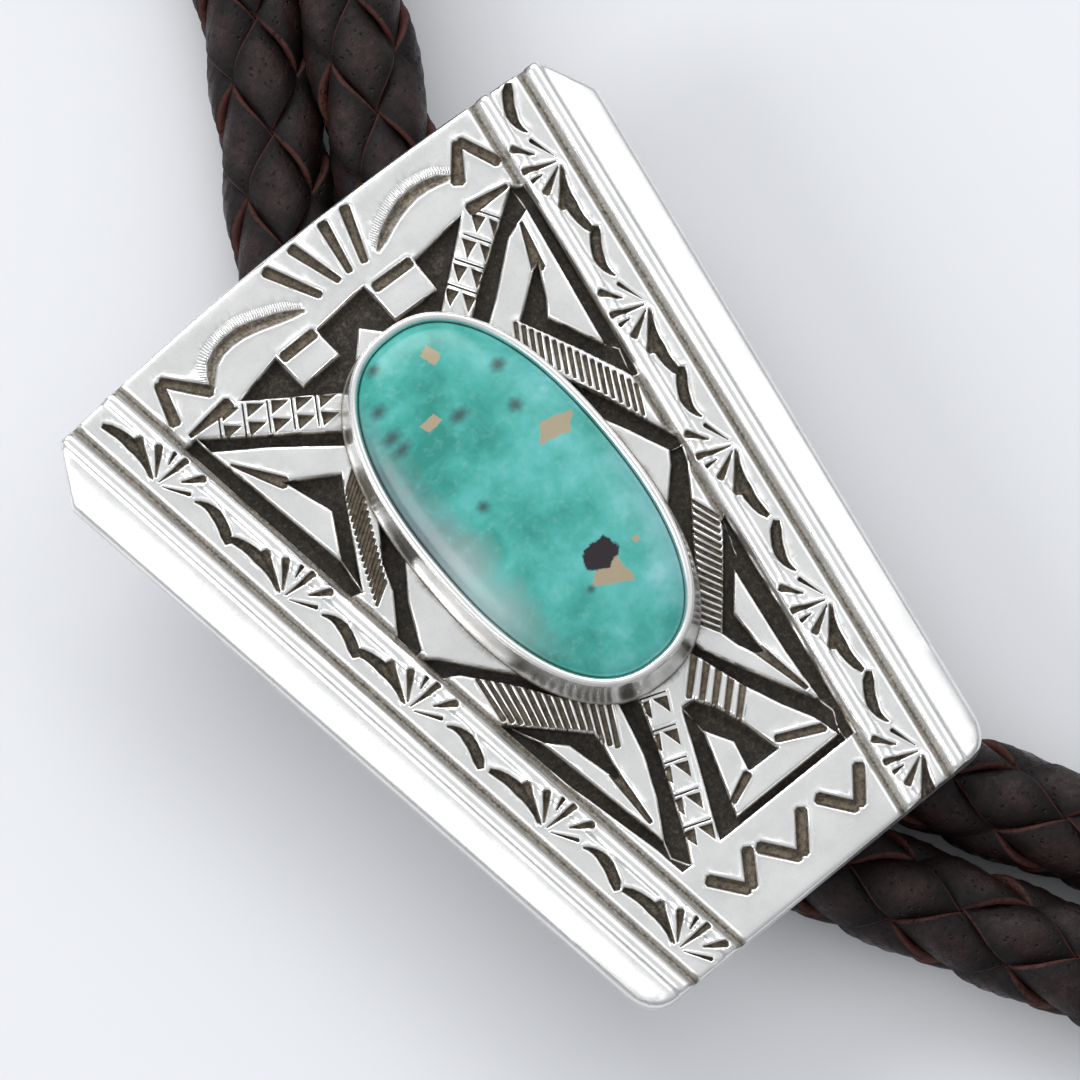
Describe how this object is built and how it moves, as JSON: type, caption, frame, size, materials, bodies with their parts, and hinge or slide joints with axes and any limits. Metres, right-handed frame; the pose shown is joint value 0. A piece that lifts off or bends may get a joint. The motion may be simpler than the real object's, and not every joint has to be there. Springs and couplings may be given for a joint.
{
  "type": "bolo tie",
  "caption": "Bolo tie: a stamped silver trapezoid slide with an oval turquoise cabochon on a loop of round-braided dark leather cord with metal tips.",
  "frame": {"origin": "on the flat underside of the cord clip, below the middle of the slide", "axes": "+Z out of the slide's face, +Y along the slide's axis to its wide end, +X to the right of the face"},
  "size_m": [0.1734, 0.3032, 0.0165],
  "materials": {
    "silver": "polished silver, dark in its recesses",
    "turquoise": "polished stone",
    "clip_metal": "satin",
    "leather": "semi-gloss braid"
  },
  "bodies": {
    "root": {"slide_plate": "silver", "turquoise_stone": "turquoise", "cord_clip": "clip_metal", "neck_cord": "leather", "left_tail": "leather", "right_tail": "leather", "left_tip": "silver", "right_tip": "silver"}
  },
  "joints": []
}
